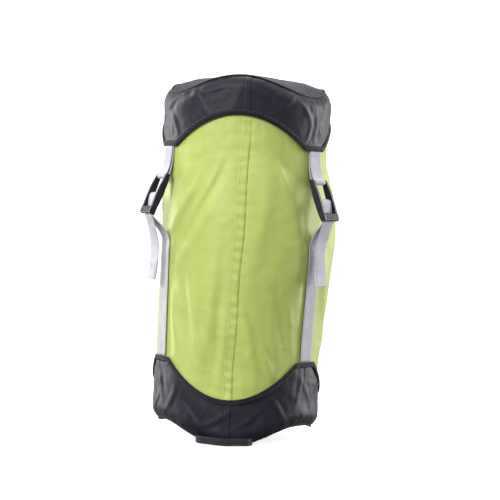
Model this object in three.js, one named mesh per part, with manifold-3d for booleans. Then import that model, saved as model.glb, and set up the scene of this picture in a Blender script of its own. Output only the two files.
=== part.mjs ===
// Compression sack: a stuffed green sack held between a base cap and a lid cap by three webbing straps.
// Millimetres, +Z up, front is -Y. The origin is the middle of the base, on the floor.
// Angles are measured round +Z from the front, towards +X. Straps stand at 60, 180 and 300 degrees,
// and the panel seams at 0, 120 and 240 degrees.
import * as THREE from 'three';
import { mergeVertices } from 'three/addons/utils/BufferGeometryUtils.js';
import Module from 'manifold-3d';

const wasm = await Module();
wasm.setup();

// ---- driving dimensions ----
const STRAP_ANGLES = [60, 180, 300];
const CAP_RADIUS = 93;
const FABRIC = 1.2;
const FIT = 0.4;
const SEAM_GAP_DEG = 0.12;

const LID_LOBE_Z = 325;
const LID_ARC_Z = 361;
const LID_TOP_Z = 403;
const LID_RIM_DROP = 19;
const LID_RIM_BACK_DROP = 6;
const LID_CROWN_Z = 406.5;
const BASE_LOBE_Z = 91;
const BASE_ARC_Z = 49.5;
const BASE_RIM_LIFT = 22;
const BASE_RIM_BACK_LIFT = 14;
const BASE_FLAT_RADIUS = 38;
const LOBE_HALF_DEG = 10.5;
const RIM_RADIUS = 86;
const RIM_ROUNDING = 14;
const BINDING_WIDTH = 6;
const BINDING_THICKNESS = 1;

const BULGE_STOP = 38;
const BODY_RADIUS = CAP_RADIUS - FABRIC - FIT;
const BODY_BOTTOM_Z = 38;
const SHOULDER_Z = 357;
const SHOULDER_DROP = 21;
const CREST_RADIUS = 72;
const CREST_RISE = 14;
const CREST_RISE_AT_STRAP = 18;
const MOUTH_EDGE_RADIUS = 27;
const MOUTH_EDGE_Z = 360;
const DIMPLE_SHARE = 0.53;
const BULGE = 6.5;
const BOW = 6.5;
const BULGE_SKEW = 1.7;
const VALLEY_SHARE = 0.55;
const VALLEY_DEG = 16;

const WEBBING_WIDTH = 20;
const WEBBING = 1.4;
const LOCK_RADIUS = 99.6;
const LOCK_Z = 291;
const LOCK_TILT_DEG = 18;
const LOCK_LENGTH = 46;
const LOCK_HALF_WIDTH = 14.5;
const RAIL_WIDTH = 3.5;
const BAR_RADIUS = 1.7;
const TAB_THICKNESS = 2.6;
const TAB_LENGTH = 33.7;
const TAIL_HEM_TOP_Z = 196.4;
const TAIL_END_Z = 176;

const CHANNEL_OUTER = 26.4;
const CHANNEL_INNER = 16;
const CHANNEL_BOTTOM_Z = 356.5;
const CHANNEL_TOP_Z = 367;
const CORD_RADIUS = 1.5;
const CORD_RING_RADIUS = 21.2;
const CORD_RING_Z = 363;
const CORD_LOCK_Y = -37;
const CORD_LOCK_Z = 365.6;
const STRAND_OFFSET = 2.6;

// ---- colours ----
const GREEN = 0xa4ba4a;
const GRANITE = 0x3a3842;
const BINDING_COLOUR = 0x26252b;
const SILVER_WEBBING = 0xc9c9d2;
const BLACK_PLASTIC = 0x1f1e26;
const CORD_COLOUR = 0x5c5c66;
const STEEL = 0xb8babd;

const sack = new THREE.Group();

function fabricMaterial(color) {
  return new THREE.MeshStandardMaterial({ color, roughness: 0.7, metalness: 0 });
}

function plasticMaterial(color) {
  return new THREE.MeshStandardMaterial({ color, roughness: 0.42, metalness: 0 });
}

function addMesh(name, geometry, material) {
  const mesh = new THREE.Mesh(geometry, material);
  mesh.name = name;
  sack.add(mesh);
  return mesh;
}

// ---- small maths ----
const rad = THREE.MathUtils.degToRad;

function smooth(t) {
  const c = THREE.MathUtils.clamp(t, 0, 1);
  return c * c * (3 - 2 * c);
}

function atAngle(deg, radius, z) {
  return new THREE.Vector3(radius * Math.sin(rad(deg)), -radius * Math.cos(rad(deg)), z);
}

function angleFromStrap(deg) {
  const near = ((deg - 60) % 120 + 120) % 120;
  return Math.min(near, 120 - near);
}

// 0 on the flat of a lobe, 1 at the top of an arc, half way between two straps
function scallop(deg) {
  const along = (angleFromStrap(deg) - LOBE_HALF_DEG) / (60 - LOBE_HALF_DEG);
  return Math.sin(Math.PI / 2 * THREE.MathUtils.clamp(along, 0, 1));
}

// 0 at the seams, 1 at the straps, which pull the rims of the two caps together
function rimPull(deg) {
  return (1 - Math.cos(rad(3 * deg))) / 2;
}

// 0 at the front seam and at the straps, 1 at the two back seams
function backSeam(deg) {
  return (1 - rimPull(deg)) * (1 - Math.cos(rad(deg))) / 1.5;
}

const lidEdgeZ = deg => THREE.MathUtils.lerp(LID_LOBE_Z, LID_ARC_Z, scallop(deg));
const lidRimZ = deg => LID_TOP_Z - LID_RIM_DROP * rimPull(deg) - LID_RIM_BACK_DROP * backSeam(deg);
const baseEdgeZ = deg => THREE.MathUtils.lerp(BASE_LOBE_Z, BASE_ARC_Z, scallop(deg));
const baseRimZ = deg => BASE_RIM_LIFT * rimPull(deg) + BASE_RIM_BACK_LIFT * backSeam(deg);

// radius of the stuffed body, which swells below the reach of the sliding lid and bows towards +X
function bodyRadius(deg, z) {
  const low = baseEdgeZ(deg) - 4;
  const high = lidEdgeZ(deg) - BULGE_STOP;
  const along = THREE.MathUtils.clamp((z - low) / (high - low), 0, 1);
  const valley = VALLEY_SHARE * Math.exp(-((angleFromStrap(deg) / VALLEY_DEG) ** 2));
  const swell = (BULGE + BOW * Math.sin(rad(deg))) * (1 - valley);
  return BODY_RADIUS + swell * Math.sin(Math.PI * along ** BULGE_SKEW);
}

// radius of a cap's skirt at a height above (or below) its rim, where it turns in to meet the disc
function skirtRadius(fromRim) {
  const turn = 1 - THREE.MathUtils.clamp(fromRim / RIM_ROUNDING, 0, 1);
  return CAP_RADIUS - (CAP_RADIUS - RIM_RADIUS) * turn * turn;
}

// ---- geometry helpers ----

// a closed slab bent into place: u and v run along its two sides and w through its thickness
function bentSlab(uSteps, vSteps, place) {
  const geometry = new THREE.BoxGeometry(1, 1, 1, uSteps, vSteps, 1);
  const position = geometry.attributes.position;
  for (let i = 0; i < position.count; i++) {
    const u = position.getX(i) + 0.5;
    const v = position.getY(i) + 0.5;
    const w = position.getZ(i) + 0.5;
    const point = place(u, v, w);
    position.setXYZ(i, point.x, point.y, point.z);
  }
  return geometry;
}

// a ribbon outline of even thickness along a smooth line through the given (x, y) points
function ribbonShape(points, thickness, steps) {
  const line = new THREE.SplineCurve(points.map(([x, y]) => new THREE.Vector2(x, y)));
  const left = [];
  const right = [];
  for (let i = 0; i <= steps; i++) {
    const point = line.getPoint(i / steps);
    const along = line.getTangent(i / steps);
    const side = new THREE.Vector2(-along.y, along.x).multiplyScalar(thickness / 2);
    left.push(point.clone().add(side));
    right.unshift(point.clone().sub(side));
  }
  return new THREE.Shape([...left, ...right]);
}

// extrudes a shape drawn in (radius, z) across the tangent direction at a strap's angle
function acrossStrap(deg, shape, width, centre = 0) {
  const geometry = new THREE.ExtrudeGeometry(shape, { depth: width, bevelEnabled: false, curveSegments: 8 });
  geometry.translate(0, 0, centre - width / 2);
  const outward = atAngle(deg, 1, 0);
  const up = new THREE.Vector3(0, 0, 1);
  const across = new THREE.Vector3().crossVectors(outward, up);
  geometry.applyMatrix4(new THREE.Matrix4().makeBasis(outward, up, across));
  return geometry;
}

function toSolid(geometry) {
  const bare = geometry.clone();
  bare.deleteAttribute('normal');
  bare.deleteAttribute('uv');
  const merged = mergeVertices(bare, 1e-4);
  const vertProperties = new Float32Array(merged.attributes.position.array);
  const triVerts = new Uint32Array(merged.index.array);
  return new wasm.Manifold(new wasm.Mesh({ numProp: 3, vertProperties, triVerts }));
}

function toGeometry(solid) {
  const mesh = solid.getMesh();
  const geometry = new THREE.BufferGeometry();
  geometry.setAttribute('position', new THREE.BufferAttribute(mesh.vertProperties, 3));
  geometry.setIndex(new THREE.BufferAttribute(mesh.triVerts, 1));
  return geometry;
}

// ---- caps ----
const PANEL_STEPS = 16;
const PANEL_ROWS = 32;

function panelAngle(strapDeg, u) {
  const half = 60 - SEAM_GAP_DEG;
  return strapDeg - half + 2 * half * u;
}

// skirt rows: close together in the turned-in rim, wide apart on the straight wall
function skirtHeight(edgeZ, rimZ, v) {
  const towards = Math.sign(edgeZ - rimZ);
  const turnShare = 0.45;
  if (v < turnShare) {
    return rimZ + towards * RIM_ROUNDING * (v / turnShare);
  }
  return THREE.MathUtils.lerp(rimZ + towards * RIM_ROUNDING, edgeZ, (v - turnShare) / (1 - turnShare));
}

function skirtPanel(strapDeg, edgeZ, rimZ) {
  const above = edgeZ(strapDeg) > rimZ(strapDeg);
  return bentSlab(PANEL_STEPS, 6, (u, v, w) => {
    const deg = panelAngle(strapDeg, u);
    const row = above ? v : 1 - v;
    const z = skirtHeight(edgeZ(deg), rimZ(deg), row);
    const radius = skirtRadius(Math.abs(z - rimZ(deg)));
    return atAngle(deg, radius - FABRIC * (1 - w), z);
  });
}

function bindingStrip(strapDeg, lowZ, highZ) {
  return bentSlab(PANEL_STEPS, 1, (u, v, w) => {
    const deg = panelAngle(strapDeg, u);
    const radius = CAP_RADIUS + 0.3 + BINDING_THICKNESS * w;
    return atAngle(deg, radius, THREE.MathUtils.lerp(lowZ(deg), highZ(deg), v));
  });
}

// a round sheet with rings at the given radii, whose height follows heightAt(radius, angle)
function discSheet(radii, heightAt) {
  const profile = [];
  for (const radius of radii) {
    profile.push(new THREE.Vector2(radius, 0));
  }
  for (const radius of radii.toReversed()) {
    profile.push(new THREE.Vector2(radius, FABRIC));
  }
  const geometry = new THREE.LatheGeometry(profile, 42);
  geometry.rotateX(Math.PI / 2);
  const position = geometry.attributes.position;
  for (let i = 0; i < position.count; i++) {
    const x = position.getX(i);
    const y = position.getY(i);
    const r = Math.hypot(x, y);
    const deg = THREE.MathUtils.radToDeg(Math.atan2(x, -y));
    position.setZ(i, position.getZ(i) + heightAt(r, deg));
  }
  return geometry;
}

const DISC_RADIUS = RIM_RADIUS - FABRIC - FIT;

function baseDiscHeight(r, deg) {
  const out = THREE.MathUtils.clamp((r - BASE_FLAT_RADIUS) / (DISC_RADIUS - BASE_FLAT_RADIUS), 0, 1);
  return baseRimZ(deg) * (1 - (1 - out) ** 2);
}

function lidDiscHeight(r, deg) {
  const share = r / DISC_RADIUS;
  return THREE.MathUtils.lerp(LID_CROWN_Z, lidRimZ(deg), share ** 3) - FABRIC;
}

const BASE_DISC_RADII = [0, BASE_FLAT_RADIUS / 2, BASE_FLAT_RADIUS, 50, 62, 74, DISC_RADIUS];
const LID_DISC_RADII = [0, 21, 42, 63, DISC_RADIUS];
addMesh('base_disc', discSheet(BASE_DISC_RADII, baseDiscHeight), fabricMaterial(GRANITE));
addMesh('lid_disc', discSheet(LID_DISC_RADII, lidDiscHeight), fabricMaterial(GRANITE));

// ---- stuffed body ----
const WALL_SHARE = 0.6;
const SHOULDER_SHARE = 0.85;

// the wall rises to a rounded shoulder, and the gathered top sinks from its crest to the mouth;
// gives radius, height and how far the sheet has turned from upright to flat
function bodyPoint(deg, v) {
  const pull = rimPull(deg);
  const shoulderZ = SHOULDER_Z - SHOULDER_DROP * pull;
  const rise = THREE.MathUtils.lerp(CREST_RISE, CREST_RISE_AT_STRAP, pull);
  if (v <= WALL_SHARE) {
    const z = THREE.MathUtils.lerp(BODY_BOTTOM_Z, shoulderZ, v / WALL_SHARE);
    return [bodyRadius(deg, z), z, 0];
  }
  if (v <= SHOULDER_SHARE) {
    const turn = Math.PI / 2 * (v - WALL_SHARE) / (SHOULDER_SHARE - WALL_SHARE);
    const radius = CREST_RADIUS + (BODY_RADIUS - CREST_RADIUS) * Math.cos(turn);
    return [radius, shoulderZ + rise * Math.sin(turn), turn / (Math.PI / 2)];
  }
  const inward = (v - SHOULDER_SHARE) / (1 - SHOULDER_SHARE);
  const radius = THREE.MathUtils.lerp(CREST_RADIUS, MOUTH_EDGE_RADIUS, inward);
  return [radius, THREE.MathUtils.lerp(shoulderZ + rise, MOUTH_EDGE_Z, smooth(inward / DIMPLE_SHARE)), 1];
}

function bodyPanel(strapDeg) {
  return bentSlab(PANEL_STEPS, PANEL_ROWS, (u, v, w) => {
    const deg = panelAngle(strapDeg, u);
    const [radius, z, turn] = bodyPoint(deg, v);
    const inward = FABRIC * (1 - w);
    const across = Math.cos(turn * Math.PI / 2);
    const down = Math.sin(turn * Math.PI / 2);
    return atAngle(deg, radius - inward * across, z - inward * down);
  });
}

// ---- straps, tabs and ladder locks ----
const tiltDown = new THREE.Vector2(Math.sin(rad(LOCK_TILT_DEG)), -Math.cos(rad(LOCK_TILT_DEG)));
const tiltOut = new THREE.Vector2(Math.cos(rad(LOCK_TILT_DEG)), Math.sin(rad(LOCK_TILT_DEG)));

// (along the lock from its top bar, outwards from the sack) to (radius, z)
function inLock(along, out) {
  return [
    LOCK_RADIUS + along * tiltDown.x + out * tiltOut.x,
    LOCK_Z + along * tiltDown.y + out * tiltOut.y,
  ];
}

function lockShape(points) {
  return new THREE.Shape(points.map(([along, out]) => new THREE.Vector2(...inLock(along, out))));
}

const RAIL_OUTLINE = [
  [-3, -1.9], [-2.4, 2.2], [4, 3.6], [14, 5.4], [26, 6.4], [36, 6.6], [40, 7.4], [LOCK_LENGTH - 1.4, 7.2],
  [LOCK_LENGTH, 5.2], [LOCK_LENGTH - 0.6, 1.6], [40, 0.2], [32, -1], [20, -2.2], [6, -2.6],
];
const MIDDLE_BAR = [[22.4, 0.6], [22.9, 2.2], [24, 2.5], [27.6, 2.5], [28, 1.6], [27.4, -0.1], [23.4, -0.1]];
const LIP_BAR = [[36.4, 4.6], [37.6, 3.1], [44.6, 3.1], [LOCK_LENGTH - 0.2, 4.6], [LOCK_LENGTH - 1, 6.6], [38, 6.8]];

function topBarShape() {
  const shape = new THREE.Shape();
  shape.absarc(LOCK_RADIUS, LOCK_Z, BAR_RADIUS, 0, 2 * Math.PI, false);
  return shape;
}

function ladderLock(deg) {
  const railCentre = LOCK_HALF_WIDTH - RAIL_WIDTH / 2;
  const barWidth = 2 * LOCK_HALF_WIDTH - RAIL_WIDTH;
  const pieces = [
    acrossStrap(deg, lockShape(RAIL_OUTLINE), RAIL_WIDTH, railCentre),
    acrossStrap(deg, lockShape(RAIL_OUTLINE), RAIL_WIDTH, -railCentre),
    acrossStrap(deg, topBarShape(), barWidth),
    acrossStrap(deg, lockShape(MIDDLE_BAR), barWidth),
    acrossStrap(deg, lockShape(LIP_BAR), barWidth),
  ];
  return toGeometry(pieces.map(toSolid).reduce((whole, piece) => whole.add(piece)));
}

// the tab: webbing sewn double, with an eye at its lower end round the lock's top bar
function tabShape() {
  const eyeInner = BAR_RADIUS + FIT;
  const eyeOuter = eyeInner + WEBBING - 0.1;
  const half = TAB_THICKNESS / 2;
  const tangent = Math.asin(half / eyeOuter);
  const shape = new THREE.Shape();
  shape.moveTo(TAB_LENGTH, half);
  shape.lineTo(eyeOuter * Math.cos(tangent), half);
  shape.absarc(0, 0, eyeOuter, tangent, 2 * Math.PI - tangent, false);
  shape.lineTo(TAB_LENGTH, -half);
  shape.closePath();
  const eye = new THREE.Path();
  eye.absarc(0, 0, eyeInner, 0, 2 * Math.PI, true);
  shape.holes.push(eye);
  return shape;
}

function lidTab(deg) {
  const lean = Math.atan2(LOCK_RADIUS - (CAP_RADIUS + 0.2), TAB_LENGTH);
  const options = { depth: WEBBING_WIDTH, bevelEnabled: false, curveSegments: 10 };
  const geometry = new THREE.ExtrudeGeometry(tabShape(), options);
  geometry.translate(0, 0, -WEBBING_WIDTH / 2);
  const along = new THREE.Vector3(-Math.sin(lean), Math.cos(lean), 0);
  const normal = new THREE.Vector3(-Math.cos(lean), -Math.sin(lean), 0);
  const side = new THREE.Vector3().crossVectors(along, normal);
  geometry.applyMatrix4(new THREE.Matrix4().makeBasis(along, normal, side));
  geometry.translate(LOCK_RADIUS, LOCK_Z, 0);
  const outward = atAngle(deg, 1, 0);
  const up = new THREE.Vector3(0, 0, 1);
  geometry.applyMatrix4(new THREE.Matrix4().makeBasis(outward, up, new THREE.Vector3().crossVectors(outward, up)));
  return geometry;
}

// the standing strap lies on the body from the base lobe up, then runs out to the lock
function standingStrapPoints(deg) {
  const points = [];
  const lift = 2.2 * FIT + WEBBING / 2;
  const bottom = BASE_LOBE_Z + 0.5;
  const leaves = 222;
  const steps = 8;
  for (let i = 0; i <= steps; i++) {
    const z = THREE.MathUtils.lerp(bottom, leaves, i / steps);
    points.push([bodyRadius(deg, z) + lift, z]);
  }
  const [endRadius, endZ] = inLock(LOCK_LENGTH + 1.4, -1.2);
  points.push([THREE.MathUtils.lerp(bodyRadius(deg, leaves), endRadius, 0.42), 235]);
  points.push([endRadius, endZ]);
  return points;
}

// the strap comes up behind the lock, turns over the middle bar and goes back down behind the lip
const HAIRPIN = [
  [LOCK_LENGTH, -1.2], [36, -1.2], [26, -1.2], [22.6, -1], [20.4, 1.2], [22.8, 3.5],
  [27, 3.5], [32, 2.6], [37, 1.6], [42, 1.5], [LOCK_LENGTH, 1.5],
];

const TAIL = [inLock(LOCK_LENGTH + 0.9, 1.5), [111.5, 237], [107.6, 222], [106.2, 208], [106.4, TAIL_HEM_TOP_Z + 0.4]];
const TAIL_HEM = [[106.45, TAIL_HEM_TOP_Z], [107.2, 186], [109, TAIL_END_Z]];

STRAP_ANGLES.forEach((deg, index) => {
  const n = index + 1;
  const granite = fabricMaterial(GRANITE);
  const webbing = fabricMaterial(SILVER_WEBBING);
  const ribbon = (points, thickness, steps) =>
    acrossStrap(deg, ribbonShape(points, thickness, steps), WEBBING_WIDTH);
  addMesh(`body_panel_${n}`, bodyPanel(deg), fabricMaterial(GREEN));
  addMesh(`base_skirt_${n}`, skirtPanel(deg, baseEdgeZ, baseRimZ), granite);
  addMesh(`lid_skirt_${n}`, skirtPanel(deg, lidEdgeZ, lidRimZ), granite);
  const baseBinding = bindingStrip(deg, d => baseEdgeZ(d) - BINDING_WIDTH, baseEdgeZ);
  addMesh(`base_binding_${n}`, baseBinding, fabricMaterial(BINDING_COLOUR));
  const lidBinding = bindingStrip(deg, lidEdgeZ, d => lidEdgeZ(d) + BINDING_WIDTH);
  addMesh(`lid_binding_${n}`, lidBinding, fabricMaterial(BINDING_COLOUR));
  addMesh(`lid_tab_${n}`, lidTab(deg), webbing);
  addMesh(`ladder_lock_${n}`, ladderLock(deg), plasticMaterial(BLACK_PLASTIC));
  addMesh(`standing_strap_${n}`, ribbon(standingStrapPoints(deg), WEBBING, 20), webbing);
  addMesh(`strap_turn_${n}`, ribbon(HAIRPIN.map(point => inLock(...point)), WEBBING, 26), webbing);
  addMesh(`strap_tail_${n}`, ribbon(TAIL, WEBBING, 10), webbing);
  addMesh(`tail_hem_${n}`, ribbon(TAIL_HEM, 2 * WEBBING, 4), webbing);
});

// ---- grab handle: webbing folded lengthwise, on edge along the front rim of the base ----
const HANDLE_HEIGHT = 9.2;
const HANDLE_THICKNESS = 2.6;
const HANDLE_ROUTE = [[-19.5, 91.4], [-18, 93.2], [-14, 94.9], [-4, 95.6], [8, 95.4], [13, 94.4], [14.8, 93.6]];

function grabHandle() {
  const plan = HANDLE_ROUTE.map(([deg, radius]) => {
    const point = atAngle(deg, radius, 0);
    return [point.x, point.y];
  });
  const shape = ribbonShape(plan, HANDLE_THICKNESS, 16);
  const geometry = new THREE.ExtrudeGeometry(shape, { depth: HANDLE_HEIGHT, bevelEnabled: false });
  geometry.translate(0, 0, 0.2);
  return geometry;
}

addMesh('grab_handle', grabHandle(), fabricMaterial(BINDING_COLOUR));

// ---- mouth: hem channel with its drawcord, cord lock and knot ----
function hemChannel() {
  const profile = [
    [CHANNEL_OUTER, CHANNEL_BOTTOM_Z], [CHANNEL_OUTER, CHANNEL_TOP_Z - 1], [CHANNEL_OUTER - 1, CHANNEL_TOP_Z],
    [CHANNEL_INNER + 1, CHANNEL_TOP_Z], [CHANNEL_INNER, CHANNEL_TOP_Z - 1], [CHANNEL_INNER, CHANNEL_BOTTOM_Z],
    [CHANNEL_INNER + FABRIC, CHANNEL_BOTTOM_Z], [CHANNEL_INNER + FABRIC, CHANNEL_TOP_Z - FABRIC],
    [CHANNEL_OUTER - FABRIC, CHANNEL_TOP_Z - FABRIC], [CHANNEL_OUTER - FABRIC, CHANNEL_BOTTOM_Z],
    [CHANNEL_OUTER, CHANNEL_BOTTOM_Z],
  ];
  const ring = new THREE.LatheGeometry(profile.map(([r, z]) => new THREE.Vector2(r, z)), 30);
  ring.rotateX(Math.PI / 2);
  const slot = new THREE.BoxGeometry(10, 8, CHANNEL_TOP_Z - FABRIC - CHANNEL_BOTTOM_Z);
  slot.translate(0, -CHANNEL_OUTER, (CHANNEL_TOP_Z - FABRIC + CHANNEL_BOTTOM_Z) / 2 - 0.1);
  return toGeometry(toSolid(ring).subtract(toSolid(slot)));
}

function drawcord() {
  const points = [];
  const endY = CORD_LOCK_Y - 10;
  points.push(new THREE.Vector3(-STRAND_OFFSET, endY, CORD_LOCK_Z));
  points.push(new THREE.Vector3(-STRAND_OFFSET, CORD_LOCK_Y, CORD_LOCK_Z));
  points.push(new THREE.Vector3(-STRAND_OFFSET, CORD_LOCK_Y + 7, CORD_LOCK_Z));
  points.push(new THREE.Vector3(-STRAND_OFFSET - 0.3, -25, CORD_RING_Z + 0.5));
  for (let deg = -22; deg >= -338; deg -= 15.8) {
    points.push(atAngle(deg, CORD_RING_RADIUS, CORD_RING_Z));
  }
  const back = points.slice(0, 4).map(p => new THREE.Vector3(-p.x, p.y, p.z)).reverse();
  const route = new THREE.CatmullRomCurve3([...points, ...back]);
  const section = new THREE.Shape();
  section.absarc(0, 0, CORD_RADIUS, 0, 2 * Math.PI, false);
  return new THREE.ExtrudeGeometry(section, { steps: 56, extrudePath: route, curveSegments: 4 });
}

const BARREL_RADIUS = 5;
const BARREL_BORE = 3.9;
const BARREL_START = -15;
const BARREL_END = 8;
const BARREL_WALL = 1.5;
const PLUNGER_RADIUS = 3.6;
const PLUNGER_TRAVEL = 2.6;
const PLUNGER_START = -8.2;
const PLUNGER_END = 12;
const HOLE_HALF = 4.5;

function turned(profile, segments) {
  const geometry = new THREE.LatheGeometry(profile.map(([r, x]) => new THREE.Vector2(r, x)), segments);
  geometry.rotateZ(-Math.PI / 2);
  return geometry;
}

function crossHole(lowX, highX) {
  const hole = new THREE.BoxGeometry(highX - lowX, 14, 3.8);
  hole.translate((lowX + highX) / 2, 0, 0);
  return hole;
}

function inCordLock(geometry) {
  return geometry.translate(0, CORD_LOCK_Y, CORD_LOCK_Z);
}

function cordLockBarrel() {
  const profile = [
    [0, BARREL_START], [BARREL_RADIUS - 1, BARREL_START], [BARREL_RADIUS, BARREL_START + 1],
    [BARREL_RADIUS, BARREL_END - 0.6], [BARREL_RADIUS - 0.6, BARREL_END], [BARREL_BORE, BARREL_END],
    [BARREL_BORE, BARREL_START + BARREL_WALL], [0, BARREL_START + BARREL_WALL],
  ];
  const body = toSolid(turned(profile, 20)).subtract(toSolid(crossHole(-HOLE_HALF, HOLE_HALF)));
  return inCordLock(toGeometry(body));
}

function cordLockPlunger() {
  const profile = [
    [0, PLUNGER_START], [PLUNGER_RADIUS, PLUNGER_START], [PLUNGER_RADIUS, PLUNGER_END - 1],
    [PLUNGER_RADIUS - 1, PLUNGER_END], [0, PLUNGER_END],
  ];
  const hole = crossHole(-HOLE_HALF, HOLE_HALF + PLUNGER_TRAVEL + 0.2);
  const body = toSolid(turned(profile, 18)).subtract(toSolid(hole));
  return inCordLock(toGeometry(body));
}

class Helix extends THREE.Curve {
  constructor(radius, start, length, turns) {
    super();
    Object.assign(this, { radius, start, length, turns });
  }

  getPoint(t) {
    const turn = 2 * Math.PI * this.turns * t;
    const x = this.start + this.length * t;
    return new THREE.Vector3(x, this.radius * Math.cos(turn), this.radius * Math.sin(turn));
  }
}

function cordLockSpring() {
  const wire = 0.35;
  const start = BARREL_START + BARREL_WALL + wire + 0.2;
  const length = PLUNGER_START - wire - 0.3 - start;
  const section = new THREE.Shape();
  section.absarc(0, 0, wire, 0, 2 * Math.PI, false);
  const extrudePath = new Helix(2.7, start, length, 3);
  return inCordLock(new THREE.ExtrudeGeometry(section, { steps: 30, extrudePath, curveSegments: 3 }));
}

function cordKnot() {
  const knot = new THREE.SphereGeometry(1, 10, 7);
  knot.scale(5.6, 3.4, 3.2);
  return knot.translate(0, CORD_LOCK_Y - 13.8, CORD_LOCK_Z);
}

addMesh('mouth_hem', hemChannel(), fabricMaterial(GREEN));
addMesh('drawcord', drawcord(), fabricMaterial(CORD_COLOUR));
addMesh('cord_lock_barrel', cordLockBarrel(), plasticMaterial(BLACK_PLASTIC));
addMesh('cord_lock_button', cordLockPlunger(), plasticMaterial(BLACK_PLASTIC));
const steel = new THREE.MeshStandardMaterial({ color: STEEL, roughness: 0.3, metalness: 1 });
addMesh('cord_lock_spring', cordLockSpring(), steel);
addMesh('drawcord_knot', cordKnot(), fabricMaterial(CORD_COLOUR));

export default sack;
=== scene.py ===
import math

import bmesh
import bpy
import numpy as np
from mathutils import Matrix, Vector, noise


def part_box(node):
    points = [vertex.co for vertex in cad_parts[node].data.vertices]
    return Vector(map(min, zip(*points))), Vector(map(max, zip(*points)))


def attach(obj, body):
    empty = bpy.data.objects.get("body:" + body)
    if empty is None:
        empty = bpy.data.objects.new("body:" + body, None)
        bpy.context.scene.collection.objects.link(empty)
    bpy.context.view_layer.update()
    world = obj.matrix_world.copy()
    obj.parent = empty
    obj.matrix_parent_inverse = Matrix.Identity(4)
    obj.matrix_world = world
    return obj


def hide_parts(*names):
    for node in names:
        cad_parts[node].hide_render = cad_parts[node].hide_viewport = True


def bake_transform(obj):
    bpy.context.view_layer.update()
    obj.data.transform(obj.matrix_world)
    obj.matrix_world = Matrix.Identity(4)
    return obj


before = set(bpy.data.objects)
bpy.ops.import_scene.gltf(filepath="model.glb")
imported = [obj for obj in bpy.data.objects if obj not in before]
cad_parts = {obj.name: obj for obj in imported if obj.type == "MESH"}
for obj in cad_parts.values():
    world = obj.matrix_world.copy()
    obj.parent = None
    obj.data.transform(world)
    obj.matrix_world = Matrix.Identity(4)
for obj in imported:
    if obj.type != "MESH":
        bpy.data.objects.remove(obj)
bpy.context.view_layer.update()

# ---- driving dimensions, in metres, read from the frame where it holds them ----
MM = 0.001
STRAPS = {1: 60, 2: 180, 3: 300}
SEAMS = (0, 120, 240)
BINDING_WIDTH = 6 * MM
CAP_RADIUS = 93 * MM
RIM_RADIUS = 86 * MM
RIM_ROUNDING = 14 * MM
LOBE_HALF_DEG = 10.5
LID_LOBE_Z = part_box("lid_skirt_1")[0][2]
LID_TOP_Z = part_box("lid_skirt_1")[1][2]
LID_ARC_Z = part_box("lid_binding_1")[1][2] - BINDING_WIDTH
LID_RIM_DROP = 19 * MM
LID_RIM_BACK_DROP = 6 * MM
LID_CROWN_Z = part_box("lid_disc")[1][2]
BASE_LOBE_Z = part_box("base_skirt_1")[1][2]
BASE_ARC_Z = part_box("base_binding_1")[0][2] + BINDING_WIDTH
BASE_RIM_LIFT = 22 * MM
BASE_RIM_BACK_LIFT = 14 * MM
BASE_FLAT_RADIUS = 38 * MM
BULGE_STOP = 38 * MM
BODY_RADIUS = 91.4 * MM
BODY_BOTTOM_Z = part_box("body_panel_1")[0][2]
SHOULDER_Z = 357 * MM
SHOULDER_DROP = 21 * MM
CREST_RADIUS = 72 * MM
CREST_RISE = 14 * MM
CREST_RISE_AT_STRAP = 18 * MM
MOUTH_EDGE_RADIUS = 27 * MM
MOUTH_EDGE_Z = 360 * MM
DIMPLE_SHARE = 0.53
BULGE = 6.5 * MM
BOW = 6.5 * MM
BULGE_SKEW = 1.7
VALLEY_SHARE = 0.55
VALLEY_DEG = 16

WEBBING_WIDTH = 20 * MM
WEBBING = 1.4 * MM
LOCK_RADIUS = 99.6 * MM
LOCK_Z = 291 * MM
LOCK_TILT_DEG = 18
LOCK_HALF_WIDTH = 14.5 * MM
RAIL_WIDTH = 3.5 * MM
HEM_RADIUS = 21.2 * MM
CORD_LOCK_CENTRE = (0, -37 * MM, 365.6 * MM)


# ---- camera ----
VIEW_AZIMUTH = 5
VIEW_ELEVATION = 1.8
VIEW_ROLL = 2.4
VIEW_DISTANCE = 2.1
VIEW_WIDTH = 0.567
AIM = (9.5 * MM, 0, 211.5 * MM)


def make_camera():
    data = bpy.data.cameras.new("camera")
    data.sensor_width = 36
    data.lens = 36 * VIEW_DISTANCE / VIEW_WIDTH
    camera = bpy.data.objects.new("camera", data)
    bpy.context.scene.collection.objects.link(camera)
    turn = Matrix.Rotation(math.radians(VIEW_AZIMUTH), 4, "Z")
    lift = Matrix.Rotation(math.radians(90 - VIEW_ELEVATION), 4, "X")
    roll = Matrix.Rotation(math.radians(VIEW_ROLL), 4, "Z")
    back = Matrix.Translation((0, 0, VIEW_DISTANCE))
    camera.matrix_world = Matrix.Translation(AIM) @ turn @ lift @ roll @ back
    bpy.context.scene.camera = camera


make_camera()


# ---- shape of the sack: angles in degrees round +Z from the front, towards +X ----
def smooth(t):
    c = np.clip(t, 0, 1)
    return c * c * (3 - 2 * c)


def lerp(a, b, t):
    return a + (b - a) * t


def outward(deg):
    t = np.radians(deg)
    return np.stack([np.sin(t), -np.cos(t), np.zeros_like(t)], axis=-1)


def sideways(deg):
    """The level direction across a strap that lies at an angle."""
    return np.array([math.cos(math.radians(deg)), math.sin(math.radians(deg)), 0])


def at_angle(deg, radius, z):
    deg, radius, z = np.broadcast_arrays(np.asarray(deg, float), radius, z)
    points = outward(deg) * radius[..., None]
    points[..., 2] = z
    return points


def degrees_from(deg, centre):
    return np.abs((np.asarray(deg, float) - centre + 180) % 360 - 180)


def from_strap(deg):
    near = (np.asarray(deg, float) - 60) % 120
    return np.minimum(near, 120 - near)


def scallop(deg):
    along = (from_strap(deg) - LOBE_HALF_DEG) / (60 - LOBE_HALF_DEG)
    return np.sin(np.pi / 2 * np.clip(along, 0, 1))


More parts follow.
